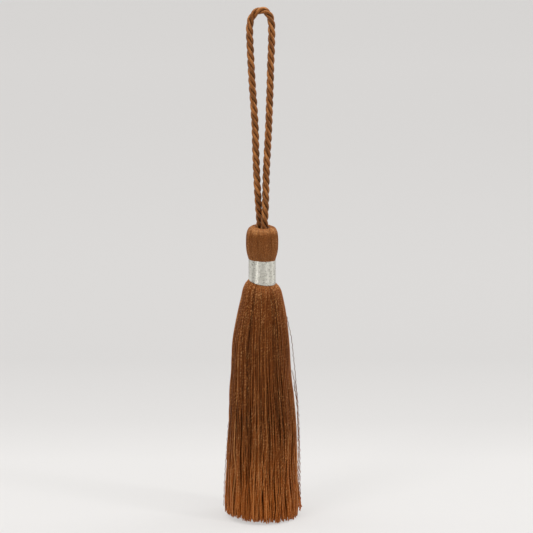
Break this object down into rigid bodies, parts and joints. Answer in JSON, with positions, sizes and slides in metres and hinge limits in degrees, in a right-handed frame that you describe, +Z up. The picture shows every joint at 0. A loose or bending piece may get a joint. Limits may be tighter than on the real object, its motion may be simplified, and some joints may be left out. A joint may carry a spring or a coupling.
{
  "type": "key tassel",
  "caption": "Long yarn tassel with a smooth folded head, a metallic thread binding at the neck and a twisted cord loop to hang it by.",
  "frame": {"origin": "inside the crown of the cord loop, where what holds the tassel up bears on the cord", "axes": "+Z up along the hanging tassel, towards the crown of the loop; the loop lies in the XZ plane, and its front faces -Y"},
  "size_m": [0.0364, 0.0368, 0.2486],
  "materials": {
    "cord": "twisted viscose yarn with a soft sheen",
    "yarn": "fine viscose yarn with a satin sheen",
    "binding": "wound silver metallic thread"
  },
  "bodies": {
    "root": {"hanging_loop": "cord", "head_and_skirt": "yarn", "neck_binding": "binding"}
  },
  "joints": []
}
